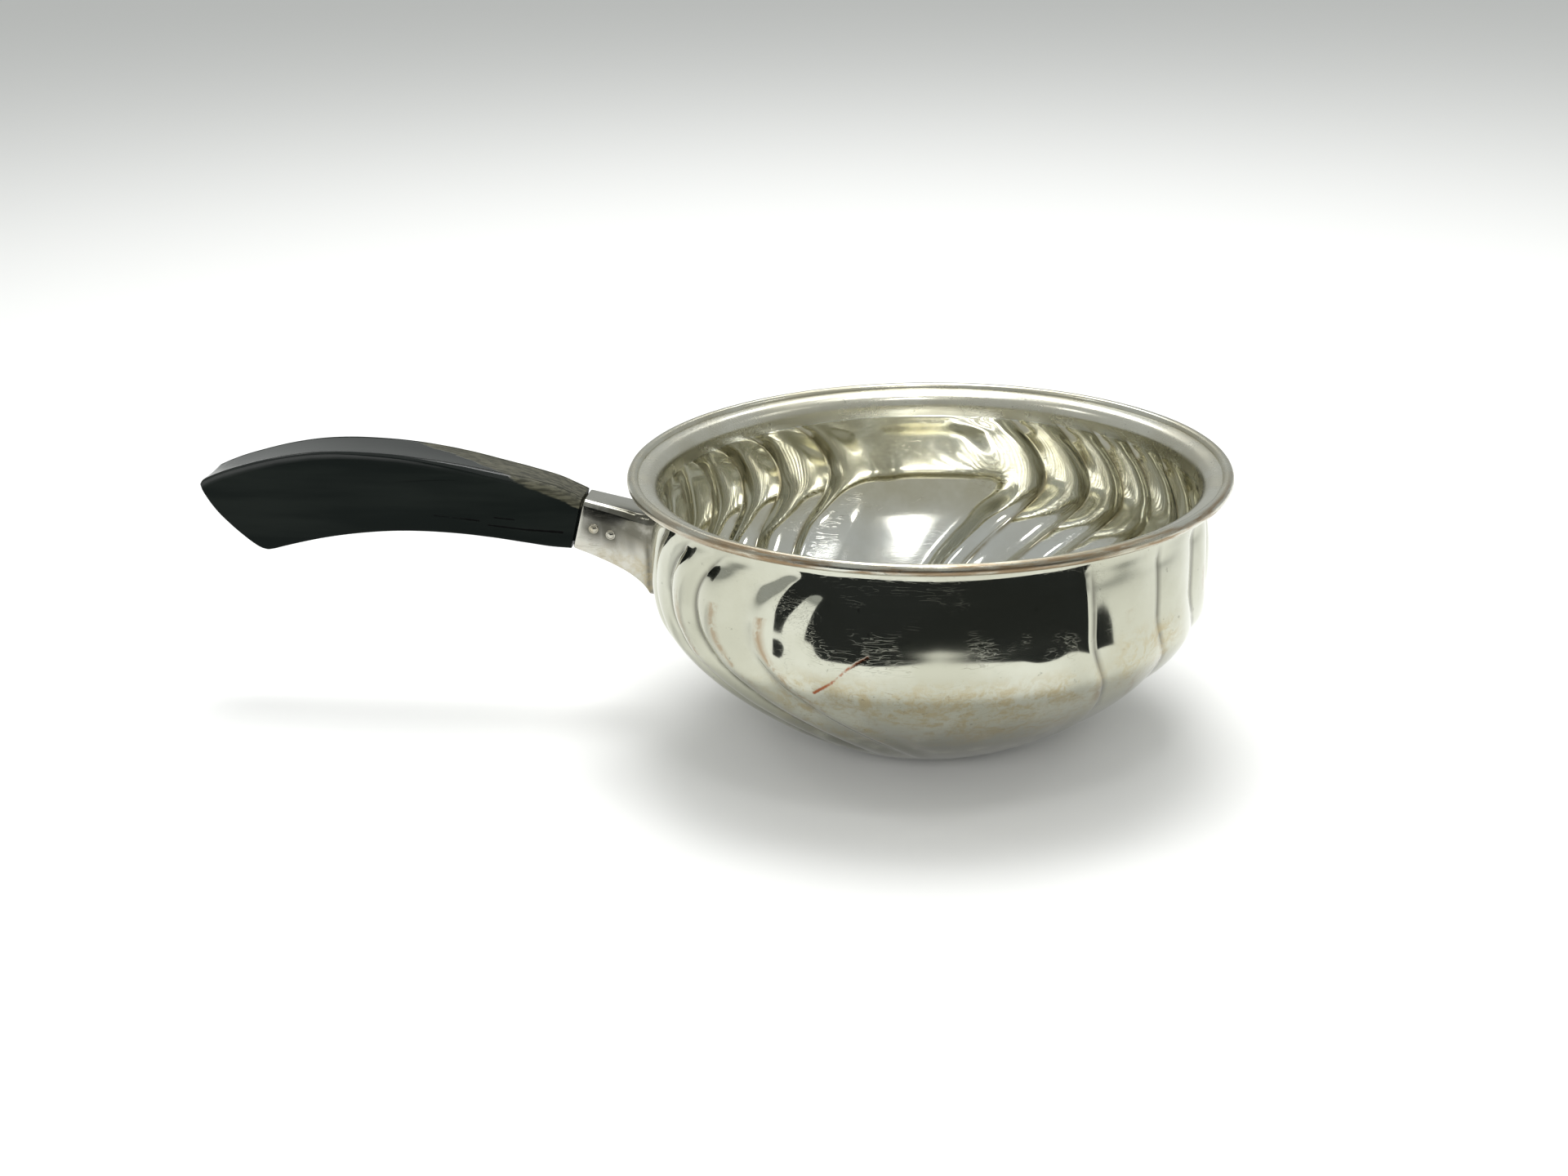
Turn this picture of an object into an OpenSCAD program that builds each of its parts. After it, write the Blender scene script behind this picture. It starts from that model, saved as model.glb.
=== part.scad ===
// Silver-plated sauce boat of the saucepan kind: a round, swirl-fluted bowl with a flared lip,
// a wire rim, a hollow handle socket soldered to the wall and an ebonised wooden grip.
// Millimetres. +Z is up, the bowl's axis is Z, the handle points along -X.
// The origin is the centre of the flat underside that the bowl stands on.

/* [Bowl] */
// Radius of the flat underside
base_r = 20; // [18:0.5:22]
// Thickness of the pressed sheet
sheet_t = 0.9; // [0.7:0.05:1.1]
// Radius of the throat, inside the neck
throat_r = 59.9; // [59.6:0.1:60]
// Height of the lower end of the neck
neck_z = 57; // [56.8:0.05:57.2]

/* [Flutes] */
// Depth of the creases between the flutes
flute_depth = 1.3; // [0.6:0.1:1.6]
// Where a flute's crest lies between its two creases
crest_at = 0.45; // [0.3:0.05:0.6]
// Depth of the shallow groove inside each edge of a plain panel
groove_depth = 0.45; // [0:0.05:0.8]
// How far a plain panel lies below the crests
panel_drop = 0.15; // [0:0.05:0.3]
// Height at which the flutes run straight up
belly_z = 42; // [38:1:46]
// Degrees that the flutes turn for each millimetre below the belly
swirl_rate = 1.05; // [0.6:0.05:1.3]
// Strength of the hook at the top of the flutes
top_hook = 0.045; // [0:0.005:0.06]

/* [Rim] */
// Diameter of the rim wire
wire_d = 2.6; // [2.3:0.1:3]
// Outer radius of the rim
rim_r = 67; // [66.8:0.1:67.2]
// Height of the top of the rim
rim_z = 62.9; // [62.7:0.1:63]

/* [Handle socket] */
// Width of the socket at its mouth
mouth_w = 9.5; // [9:0.1:10]
// Width of the socket at the bowl
root_w = 12.6; // [11:0.1:14]
// Wall of the socket
socket_wall = 0.9; // [0.7:0.1:1.1]

/* [Grip] */
// Width of the grip at the socket
grip_w_root = 9.8; // [9.5:0.1:10.5]
// Width of the grip at its middle
grip_w_mid = 12.4; // [11.5:0.1:13]
// Width of the grip at its end
grip_w_tip = 11.8; // [9:0.1:12]
// Open joint between the grip's shoulder and the socket
shoulder_gap = 0.5; // [0.2:0.1:0.8]
// Length of the tenon inside the socket
tenon_l = 12; // [9:0.5:12.5]

/* [Pins] */
// Diameter of the pins through the socket
pin_d = 2.4; // [1.8:0.1:2.8]
// How far a pin head stands out of the socket
pin_proud = 0.3; // [0.1:0.1:0.5]

/* [Hidden] */
$fn = 96;
silver = [0.80, 0.79, 0.74];
worn_rim = [0.72, 0.60, 0.46];
black_wood = [0.08, 0.09, 0.08];

// The outside of the bowl from the flat underside to the neck, as [radius, height].
wall = [[base_r - 0.9, 0.3], [24, 1.7], [29, 3.9], [35, 7], [41, 10.8], [46, 14.5], [51, 18.7],
        [55.5, 23.1], [59, 27.6], [61.2, 31.3], [62.2, 36], [62.35, 42], [62.2, 47.5], [61.8, 51.5],
        [61.2, 54.8], [60.65, 57.4]];
// The creases between the flutes on the far side and at the handle. Each is [degrees round the bowl,
// share of the full depth, softness of its bottom on the side before it and on the side after it].
far_creases = [[-52, 0.35, 0, 1], [-33.8, 0.85, 0, 0], [-19, 0.9, 0, 0], [-4.5, 1, 0, 0], [9.5, 1, 0, 0],
    [22.5, 1, 0, 0], [34.3, 1, 0, 0], [44.5, 1, 0, 0], [54.5, 1, 0, 0], [66.5, 1, 0, 0]];
handle_creases = [[118.6, 1, 0, 0], [131.7, 1, 0, 0], [142.5, 1, 0, 0], [153, 1, 0, 0], [164, 1, 0, 0],
    [175, 1, 0, 0], [186, 1, 0, 0], [197.5, 1, 0, 0], [209.5, 1, 0, 0], [221.2, 1, 0, 0], [236, 0.8, 1, 1]];
front_end = far_creases[0] + [360, 0, 0, 0];
// Share of the turn below the belly, and of the hook above it, at a column's angle.
turn_share = [[-52, 0.45], [-33.8, 0.6], [-19, 0.8], [-4.5, 1], [236, 1], [308, 0.45]];
hook_share = [[-52, 0], [-33.8, 0.1], [-19, 0.4], [-4.5, 1], [236, 1], [308, 0]];
// Points along one flute, as parts of its width.
flute_steps = [0, 0.12, 0.28, 0.45, 0.64, 0.84];
panel_step = 4.2;
// Degrees in from a panel's edge to its ridge, to its shallow groove and to its plain face.
plain_edge = [4.5, 11, 18];
sharp_edge = [1.4, 7.5, 15];

function smooth(a, b, x) = let (t = max(0, min(1, (x - a) / (b - a)))) t * t * (3 - 2 * t);
// How far round the flutes have turned at height z, on the column at angle c.
function swirl(z, c) = z > belly_z ? lookup(c, hook_share) * top_hook * pow(z - belly_z, 2)
    : let (d = belly_z - z - 3.5)
    lookup(c, turn_share) * (swirl_rate * (d + sqrt(d * d + 9)) / 2 - 0.55 * swirl_rate);
// Share of the full flute depth at height z: none at the neck and none under the bowl.
function fade(z) = smooth(2, 13, z) * (1 - smooth(51, 56.8, z));
// Depth share from a crease at u = 0 to a crest at u = 1, with a sharp or a soft bottom.
function valley(u, soft) = (1 - soft) * (1 - sin(90 * u)) + soft * (1 + cos(180 * u)) / 2;
// Depth share t of the way across the flute between creases a and b.
function flute_dip(t, a, b) = t < crest_at ? a[1] * valley(t / crest_at, a[3])
    : b[1] * valley((1 - t) / (1 - crest_at), b[2]);
// Dip of a panel, u degrees in from crease c: a ridge, a shallow groove, then the plain face.
function panel_dip(u, c, edge) = u < edge[0] ? flute_depth * c[1] * valley(u / edge[0], c[2])
    : u < edge[1] ? groove_depth * (1 - cos(180 * (u - edge[0]) / (edge[1] - edge[0]))) / 2
    : groove_depth + (panel_drop - groove_depth) * smooth(edge[1], edge[2], u);

// Columns round the bowl, as [angle, dip, share of the panel rounding], from one set of creases
// and from one panel.
function flutes(c) = [for (i = [0 : len(c) - 2]) for (t = flute_steps)
    [c[i][0] + t * (c[i + 1][0] - c[i][0]), flute_depth * flute_dip(t, c[i], c[i + 1]), 0]];
// How far the far plain panel draws in at height z; below the belly it is rounder than the flutes.
function panel_round(z) = lookup(z, [[2, 0], [6, 0.7], [10, 1.9], [15, 3.2], [20, 3.9], [25, 4], [30, 3.35],
    [33, 2.65], [36, 1.7], [39, 0.55], [41, 0.12], [43, 0]]);
function edge_steps(e) = [e[0], (e[0] + e[1]) / 2, e[1], (e[1] + e[2]) / 2, e[2]];
function drawn_in(u, e) = smooth(e[0] - 1, e[0] + 9, u);
function panel(a, b, edge_b, share) = let (w = b[0] - a[0], first = edge_steps(plain_edge),
    last = edge_steps(edge_b), plain = w - plain_edge[2] - edge_b[2], n = ceil(plain / panel_step))
    [for (u = concat([0], first, [for (k = [1 : n - 1]) plain_edge[2] + k * plain / n],
        [for (k = [4 : -1 : 0]) w - last[k]]))
    u < w / 2 ? [a[0] + u, panel_dip(u, a, plain_edge), share * drawn_in(u, plain_edge)]
        : [a[0] + u, panel_dip(w - u, b, edge_b), share * drawn_in(w - u, edge_b)]];
columns = concat(flutes(far_creases), panel(far_creases[9], handle_creases[0], plain_edge, 1),
    flutes(handle_creases), panel(handle_creases[10], front_end, sharp_edge, 0));

// Outward direction of the wall at row i, and the matching point of the inside.
function along(i) = wall[min(i + 1, len(wall) - 1)] - wall[max(i - 1, 0)];
function inside(i) = let (d = along(i), s = sheet_t / norm(d))
    [wall[i][0] - d[1] * s, wall[i][1] + d[0] * s];
rows = len(wall);
function relief(i) = [fade(wall[i][1]), panel_round(wall[i][1])];
section = concat([for (i = [0 : rows - 1]) concat(wall[i], relief(i))],
    [for (i = [rows - 1 : -1 : 0]) concat(inside(i), relief(i))]);

function at(c, s) = let (a = c[0] + swirl(s[1], c[0]), r = s[0] - c[1] * s[2] - c[2] * s[3])
    [r * cos(a), r * sin(a), s[1]];

// The fluted wall: every column of points follows the swirl, so each crease is a clean edge.
module fluted_wall() {
    n = len(columns);
    m = len(section);
    points = [for (c = columns) for (s = section) at(c, s)];
    faces = [for (i = [0 : n - 1]) for (j = [0 : m - 1])
        let (i2 = (i + 1) % n, j2 = (j + 1) % m)
        each [[i * m + j, i * m + j2, i2 * m + j], [i2 * m + j, i * m + j2, i2 * m + j2]]];
    polyhedron(points = points, faces = faces);
}

lip_z = rim_z - wire_d / 2;
lip_edge = rim_r - wire_d / 2 - 0.7;

// Half section of the neck and the flared lip.
module lip_section() {
    polygon([[throat_r, neck_z], [throat_r + 1, neck_z], [throat_r + 1.05, 58.2], [61.6, 59.4],
        [62.8, 60.3], [64, 60.75], [lip_edge, 60.85], [lip_edge, 61.85], [63.6, 61.75],
        [62, 61.35], [60.9, 60.6], [60.2, 59.5], [throat_r, 58.2]]);
}

// Pressed sheet bowl with its neck and lip.
module bowl_shell() {
    color(silver) {
        fluted_wall();
        rotate_extrude() lip_section();
        cylinder(r = base_r, h = sheet_t);
    }
}

// Round wire that covers the edge of the lip.
module rim_wire() {
    color(worn_rim)
    rotate_extrude()
    difference() {
        translate([rim_r - wire_d / 2, lip_z]) circle(d = wire_d);
        lip_section();
    }
}

// Side outline of the socket, with x measured outwards from the bowl's axis.
top_mouth = [77.8, 53.5];
low_mouth = [80.7, 42.1];
axis_dir = [low_mouth[1] - top_mouth[1], top_mouth[0] - low_mouth[0]] / norm(low_mouth - top_mouth);
socket_side = [top_mouth, [67.3, 51.2], [58, 49.6], [58, 30], [62.3, 31.9], [64.3, 33.7],
    [67.1, 36.0], [71.7, 38.5], [76, 40.4], low_mouth];

module side_plate(points, w) {
    rotate([90, 0, 0]) linear_extrude(height = w, center = true)
        polygon([for (p = points) [-p[0], p[1]]]);
}

module plan_taper(x1, w1, x2, w2) {
    linear_extrude(height = 90)
        polygon([[-x1, -w1 / 2], [-x2, -w2 / 2], [-x2, w2 / 2], [-x1, w1 / 2]]);
}

// A point on the mouth plane, t of the way down, moved d towards the bowl and s inwards.
function mouth_point(t, d, s) = let (p = top_mouth + t * (low_mouth - top_mouth),
    down = (low_mouth - top_mouth) / norm(low_mouth - top_mouth))
    p + d * axis_dir + s * down;
tenon_side = [mouth_point(0, -1, socket_wall), mouth_point(0, tenon_l, socket_wall + 0.3),
    mouth_point(1, tenon_l, -socket_wall - 2.6), mouth_point(1, -1, -socket_wall)];
tenon_w = mouth_w - 2 * socket_wall;

// Hollow socket whose root follows the bowl.
module handle_socket() {
    color(silver)
    difference() {
        intersection() {
            side_plate(socket_side, 30);
            plan_taper(82, mouth_w, 62, root_w);
        }
        cylinder(r = 62.36, h = 70);
        side_plate(tenon_side, tenon_w);
        pin_holes();
    }
}

pin_spots = [[75.7, 46.9], [71.8, 45.6]];

module pin_holes() {
    for (p = pin_spots)
        translate([-p[0], 0, p[1]]) rotate([90, 0, 0]) cylinder(d = pin_d, h = 30, center = true);
}

// Two pins that hold the tenon in the socket.
module handle_pins() {
    color(silver)
    intersection() {
        pin_holes();
        plan_taper(82, mouth_w + 2 * pin_proud, 62, root_w + 2 * pin_proud);
    }
}

// Outline of the grip: the arched top from the socket to the end, then the underside back.
grip_side = [mouth_point(0, -shoulder_gap, 0), [80.5, 54.95], [84, 56.35], [90.4, 58.15], [98.1, 59.85],
    [105.7, 61.45], [113.4, 62.7], [120.3, 63.55], [127.4, 64.05], [134, 64.1], [140.7, 63.7], [148.7, 62.4],
    [155.8, 60.6], [162, 58.65], [166.4, 56.9], [167.7, 56.1], [168, 55.4], [166.9, 52.7],
    [164.4, 49], [161.2, 45.55], [158, 42.75], [154.4, 40.25], [152.6, 39.85], [150.4, 40.35],
    [146.4, 41.4], [138.4, 43.25], [130.5, 44.5], [122.7, 45.25], [115, 45.4], [107.3, 45.05],
    [99.6, 44.25], [92.1, 43.1], [85.5, 42.15], mouth_point(1, -shoulder_gap, 0.2)];
grip_plan = [[70, grip_w_root], [82, grip_w_root], [88, grip_w_root + 0.3], [94, grip_w_root + 1],
    [101, grip_w_mid - 0.7], [110, grip_w_mid - 0.1], [122, grip_w_mid], [138, grip_w_mid - 0.1],
    [151, grip_w_mid - 0.1], [161, grip_w_tip + 0.4], [170, grip_w_tip - 0.2]];

// Ebonised wooden grip with its tenon.
module handle_grip() {
    color(black_wood)
    difference() {
        union() {
            intersection() {
                side_plate(grip_side, 30);
                linear_extrude(height = 90) polygon(concat(
                    [for (p = grip_plan) [-p[0], -p[1] / 2]],
                    [for (i = [len(grip_plan) - 1 : -1 : 0]) [-grip_plan[i][0], grip_plan[i][1] / 2]]));
            }
            side_plate(tenon_side, tenon_w);
        }
        pin_holes();
    }
}

bowl_shell();
rim_wire();
handle_socket();
handle_grip();
handle_pins();
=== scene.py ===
"""A silver-plated, swirl-fluted sauce boat with an ebonised wooden handle.

Shapes are worked out in millimetres, in the CAD frame: the bowl's axis is Z, the handle points
along -X and the bowl stands on z = 0. Meshes are scaled to metres when they are made.
"""

import math

import bpy
import numpy as np
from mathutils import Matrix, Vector, noise


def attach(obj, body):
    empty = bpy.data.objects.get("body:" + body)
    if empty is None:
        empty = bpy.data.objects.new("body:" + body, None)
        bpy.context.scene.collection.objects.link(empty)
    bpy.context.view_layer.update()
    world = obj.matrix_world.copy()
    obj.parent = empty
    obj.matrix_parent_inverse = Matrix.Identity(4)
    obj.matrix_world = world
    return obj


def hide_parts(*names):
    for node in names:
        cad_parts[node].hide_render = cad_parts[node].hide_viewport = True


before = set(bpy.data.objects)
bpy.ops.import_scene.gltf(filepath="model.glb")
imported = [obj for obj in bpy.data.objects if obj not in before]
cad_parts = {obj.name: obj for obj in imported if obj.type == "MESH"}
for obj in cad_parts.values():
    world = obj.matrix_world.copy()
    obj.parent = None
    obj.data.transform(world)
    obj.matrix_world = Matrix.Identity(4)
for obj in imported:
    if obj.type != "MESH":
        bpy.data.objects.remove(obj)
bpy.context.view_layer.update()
MM = 0.001

# ---------------------------------------------------------------- curves and surfaces


def smooth(a, b, x):
    """0 below a, 1 above b, and an even S between them."""
    t = np.clip((np.asarray(x, float) - a) / (b - a), 0, 1)
    return t * t * (3 - 2 * t)


def along(table, x):
    """Straight-line reading of a two-column table at x."""
    return np.interp(x, [t[0] for t in table], [t[1] for t in table])


def spline(points, samples):
    """Points along a smooth curve through the given ones, evenly spaced by length."""
    p = np.array(points, float)
    reach = np.linalg.norm(np.diff(p, axis=0), axis=1)
    s = np.concatenate([[0], np.cumsum(reach)])
    slope = np.gradient(p, s, axis=0)

    def curve(at):
        i = np.clip(np.searchsorted(s, at, side="right") - 1, 0, len(s) - 2)
        h = (s[i + 1] - s[i])[:, None]
        t = ((at - s[i]) / (s[i + 1] - s[i]))[:, None]
        a = (1 + 2 * t) * (1 - t) ** 2 * p[i] + t * (1 - t) ** 2 * h * slope[i]
        return a + t * t * (3 - 2 * t) * p[i + 1] + t * t * (t - 1) * h * slope[i + 1]

    fine = curve(np.linspace(0, s[-1], 40 * len(p)))
    run = np.concatenate([[0], np.cumsum(np.linalg.norm(np.diff(fine, axis=0), axis=1))])
    even = np.linspace(0, run[-1], samples)
    return np.stack([np.interp(even, run, fine[:, k]) for k in range(p.shape[1])], -1)


def grid_faces(rows, columns, close_rows=False, close_columns=False, first=0):
    """Quads over a grid of points stored row by row."""
    last_row = rows if close_rows else rows - 1
    last_column = columns if close_columns else columns - 1
    i, j = np.meshgrid(np.arange(last_row), np.arange(last_column), indexing="ij")
    i2, j2 = (i + 1) % rows, (j + 1) % columns
    quads = np.stack([i * columns + j, i * columns + j2, i2 * columns + j2, i2 * columns + j], -1)
    return (quads.reshape(-1, 4) + first).tolist()


def make_object(name, points, faces, materials, values=None, face_material=None):
    """A smooth-shaded piece on the root body, from points in millimetres."""
    mesh = bpy.data.meshes.new(name)
    mesh.from_pydata((np.asarray(points) * MM).tolist(), [], faces)
    mesh.validate()
    mesh.polygons.foreach_set("use_smooth", [True] * len(mesh.polygons))
    for material in materials:
        mesh.materials.append(material)
    if face_material is not None:
        mesh.polygons.foreach_set("material_index", np.asarray(face_material, dtype=np.int32))
    for key, data in (values or {}).items():
        mesh.attributes.new(key, "FLOAT", "POINT").data.foreach_set("value", np.asarray(data, float))
    obj = bpy.data.objects.new(name, mesh)
    bpy.context.scene.collection.objects.link(obj)
    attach(obj, "root")
    return obj


def wobble(points, size, seed):
    """Smooth noise from about -1 to 1 at each point; size is its scale in millimetres."""
    shift = Vector((seed * 7.3, seed * 3.1, seed * 5.7))
    return np.array([noise.noise(Vector(p) / size + shift) for p in points])


# ---------------------------------------------------------------- materials


class Paint:
    """A material made of nodes that end in one Principled shader."""

    def __init__(self, name, metallic=0.0, roughness=0.5, ior=1.5):
        self.material = bpy.data.materials.new(name)
        self.material.use_nodes = True
        self.tree = self.material.node_tree
        self.shader = self.tree.nodes["Principled BSDF"]
        self.set("Metallic", metallic)
        self.set("Roughness", roughness)
        self.set("IOR", ior)
        self.place = self.node("ShaderNodeTexCoord").outputs["Object"]

    def put(self, socket, value):
        """Link an output to the socket, or set the socket's own value."""
        if isinstance(value, bpy.types.NodeSocket):
            self.tree.links.new(value, socket)
        else:
            socket.default_value = value

    def set(self, name, value):
        """Give an input of the shader its value."""
        self.put(self.shader.inputs[name], value)

    def node(self, kind, inputs=None, **settings):
        """A new node with its inputs and settings filled in."""
        made = self.tree.nodes.new(kind)
        for key, value in settings.items():
            setattr(made, key, value)
        for key, value in (inputs or {}).items():
            self.put(made.inputs[key], value)
        return made

    def math(self, operation, a, b=0.0):
        return self.node("ShaderNodeMath", {0: a, 1: b}, operation=operation).outputs[0]

    def stretch(self, scale, turn=(0, 0, 0)):
        """Object coordinates, turned and scaled along each axis."""
        return self.node(
            "ShaderNodeMapping", {"Vector": self.place, "Scale": scale, "Rotation": turn}
        ).outputs[0]

    def noise(self, scale, detail=3.0, rough=0.5, at=None, distortion=0.0):
        inputs = {"Vector": at or self.place, "Scale": scale, "Detail": detail}
        inputs.update({"Roughness": rough, "Distortion": distortion})
        return self.node("ShaderNodeTexNoise", inputs).outputs["Fac"]

    def step(self, value, low, high):
        """0 below low and 1 above high, or the other way round."""
        inputs = {"Value": value, "From Min": low, "From Max": high}
        return self.node(
            "ShaderNodeMapRange", inputs, interpolation_type="SMOOTHSTEP"
        ).outputs["Result"]

    def band(self, value, middle, half):
        """1 where value is at the middle, falling to 0 at half on either side."""
        away = self.math("ABSOLUTE", self.math("SUBTRACT", value, middle))
        return self.step(away, half, 0.0)

    def blend(self, factor, a, b):
        """Colour a where factor is 0, and b where it is 1."""
        mixer = self.node("ShaderNodeMix", data_type="RGBA")
        for index, value in ((0, factor), (6, a), (7, b)):
            self.put(mixer.inputs[index], value)
        return mixer.outputs[2]

    def stored(self, name):
        """A value that the mesh carries on its points."""
        return self.node("ShaderNodeAttribute", attribute_name=name).outputs["Fac"]

    def bump(self, height, strength, distance):
        inputs = {"Height": height, "Strength": strength, "Distance": distance}
        self.set("Normal", self.node("ShaderNodeBump", inputs).outputs[0])


def scratches(paint, amount):
    """Fine straight scratches in four directions; amount is how wide each one is."""
    total = None
    turns = ((0.3, 0.9, 0.2), (1.2, 0.4, 1.9), (2.3, 1.5, 0.7), (0.7, 2.4, 2.8))
    for turn in turns:
        grain = paint.noise(170, 1.0, 0.4, paint.stretch((1, 7, 7), turn))
        here = paint.noise(85, 1.0, 0.5, paint.stretch((1, 1, 1), turn))
        line = paint.math("MULTIPLY", paint.band(grain, 0.5, amount), paint.step(here, 0.55, 0.66))
        total = line if total is None else paint.math("MAXIMUM", total, line)
    return total


def turned_noise(paint, scale, squeeze, detail=3.0, rough=0.6):
    """Noise drawn out in circles round the bowl's axis, as polishing marks are."""
    split = paint.node("ShaderNodeSeparateXYZ", {0: paint.place})
    squares = [paint.math("MULTIPLY", split.outputs[k], split.outputs[k]) for k in (0, 1)]
    radius = paint.math("SQRT", paint.math("ADD", *squares))
    inputs = {"Vector": paint.stretch((squeeze, squeeze, 1)), "W": radius, "Scale": scale}
    inputs.update({"Detail": detail, "Roughness": rough})
    return paint.node("ShaderNodeTexNoise", inputs, noise_dimensions="4D").outputs["Fac"]


def segment_mark(paint, start, end, half_width):
    """1 on a straight mark from start to end, both in metres, with ragged sides."""
    start, end = Vector(start), Vector(end)
    reach = end - start
    offset = paint.node("ShaderNodeVectorMath", {0: paint.place, 1: start}, operation="SUBTRACT").outputs[0]
    dot = paint.node("ShaderNodeVectorMath", {0: offset, 1: reach / reach.length_squared},
                     operation="DOT_PRODUCT").outputs["Value"]
    share = paint.node("ShaderNodeClamp", {0: dot}).outputs[0]
    foot = paint.node("ShaderNodeVectorMath", {0: reach, "Scale": share}, operation="SCALE").outputs[0]
    gap = paint.node("ShaderNodeVectorMath", {0: offset, 1: foot}, operation="DISTANCE").outputs["Value"]
    ragged = paint.math("ADD", gap, paint.math("MULTIPLY", paint.noise(900, 4.0, 0.7), half_width * 1.6))
    return paint.step(ragged, half_width * 1.9, half_width * 1.2)


GRIME_AND_SHADE_TINT = (0.13, 0.125, 0.10, 1)
STAIN_TINT = (0.42, 0.34, 0.18, 1)
BARE_METAL_TINT = (0.30, 0.20, 0.11, 1)
SCRATCH_TINT = (0.20, 0.16, 0.10, 1)
SPECK_TINT = (0.16, 0.16, 0.13, 1)
SCAR_TINT = (0.30, 0.10, 0.045, 1)
SCAR_HALF_WIDTH = 0.00045
SCRATCH_WIDTH = 0.010


def stained_silver(name, clean, dull, base_rough, extra_rough, turned=0.0, mark=None):
    """Silver plate: a slow change of tint, grime in creases and painted shade, worn crests and scratches."""
    paint = Paint(name, metallic=1.0)
    clouds = paint.noise(38, 5.0, 0.6)
    colour = paint.blend(paint.step(clouds, 0.35, 0.65), clean, dull)
    grime_and_shade = paint.math("MULTIPLY", paint.stored("grime_and_shade"), paint.step(paint.noise(160, 4.0), 0.2, 0.5))
    # The grime attribute also carries painted shade and painted dark reflections, which this dark tint draws.
    colour = paint.blend(grime_and_shade, colour, GRIME_AND_SHADE_TINT)
    if turned:
        flecks = turned_noise(paint, 900, 0.10, 5.0, 0.7)
        patch = turned_noise(paint, 300, 0.12, 5.0, 0.65)
    else:
        flecks = paint.noise(420, 5.0, 0.7, distortion=0.6)
        patch = paint.noise(105, 5.0, 0.65, distortion=1.0)
    mix = paint.math("ADD", paint.math("MULTIPLY", flecks, 0.5), paint.math("MULTIPLY", patch, 0.5))
    stain = paint.math("MULTIPLY", paint.stored("stain"), paint.step(mix, 0.44, 0.60))
    colour = paint.blend(paint.math("MULTIPLY", stain, 0.75), colour, STAIN_TINT)
    wear = paint.math("MULTIPLY", paint.stored("wear"), paint.step(mix, 0.42, 0.56))
    colour = paint.blend(wear, colour, BARE_METAL_TINT)
    lines = scratches(paint, SCRATCH_WIDTH)
    strength = paint.math("ADD", 0.10, paint.math("MULTIPLY", paint.stored("stain"), 0.45))
    shade = paint.math("MULTIPLY", lines, strength)
    colour = paint.blend(shade, colour, SCRATCH_TINT)
    specks = paint.step(paint.noise(620, 2.0, 0.5), 0.70, 0.76)
    colour = paint.blend(paint.math("MULTIPLY", specks, 0.45), colour, SPECK_TINT)
    if mark:
        scar = None
        for start, end in zip(mark[:-1], mark[1:]):
            part = segment_mark(paint, start, end, SCAR_HALF_WIDTH)
            scar = part if scar is None else paint.math("MAXIMUM", scar, part)
        colour = paint.blend(scar, colour, SCAR_TINT)
    paint.set("Base Color", colour)
    rough = paint.math("MULTIPLY", paint.step(clouds, 0.4, 0.75), extra_rough)
    rough = paint.math("ADD", rough, base_rough)
    rough = paint.math("ADD", rough, paint.math("MULTIPLY", stain, 0.20))
    rough = paint.math("ADD", rough, paint.math("MULTIPLY", wear, 0.18))
    rough = paint.math("ADD", rough, paint.math("MULTIPLY", lines, 0.10))
    paint.set("Roughness", rough)
    fine = paint.math("SUBTRACT", paint.math("MULTIPLY", flecks, 0.10), paint.math("MULTIPLY", lines, 0.3))
    if turned:
        fine = paint.math("ADD", fine, paint.math("MULTIPLY", turned_noise(paint, 2200, 0.03), turned))
    if mark:
        fine = paint.math("SUBTRACT", fine, scar)
    paint.bump(fine, 0.20, 0.00005)
    return paint


# A copper-coloured gouge in the near wall, in metres; it bends with the wall.
SCAR = [(-0.00702, -0.06163, 0.0410), (-0.01087, -0.0610, 0.0383), (-0.01468, -0.05978, 0.0344),
        (-0.01858, -0.05787, 0.0311)]
outside_silver = stained_silver("outside_silver", (0.565, 0.57, 0.485, 1), (0.48, 0.48, 0.39, 1), 0.05, 0.05,
                                mark=SCAR)
lip_silver = stained_silver("lip_silver", (0.72, 0.71, 0.62, 1), (0.58, 0.56, 0.46, 1), 0.22, 0.14, 2.0)
socket_silver = stained_silver("socket_silver", (0.58, 0.57, 0.52, 1), (0.46, 0.45, 0.38, 1), 0.12, 0.10)
rim_silver = stained_silver("rim_silver", (0.66, 0.66, 0.58, 1), (0.50, 0.48, 0.38, 1), 0.20, 0.14, 1.6)


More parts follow.
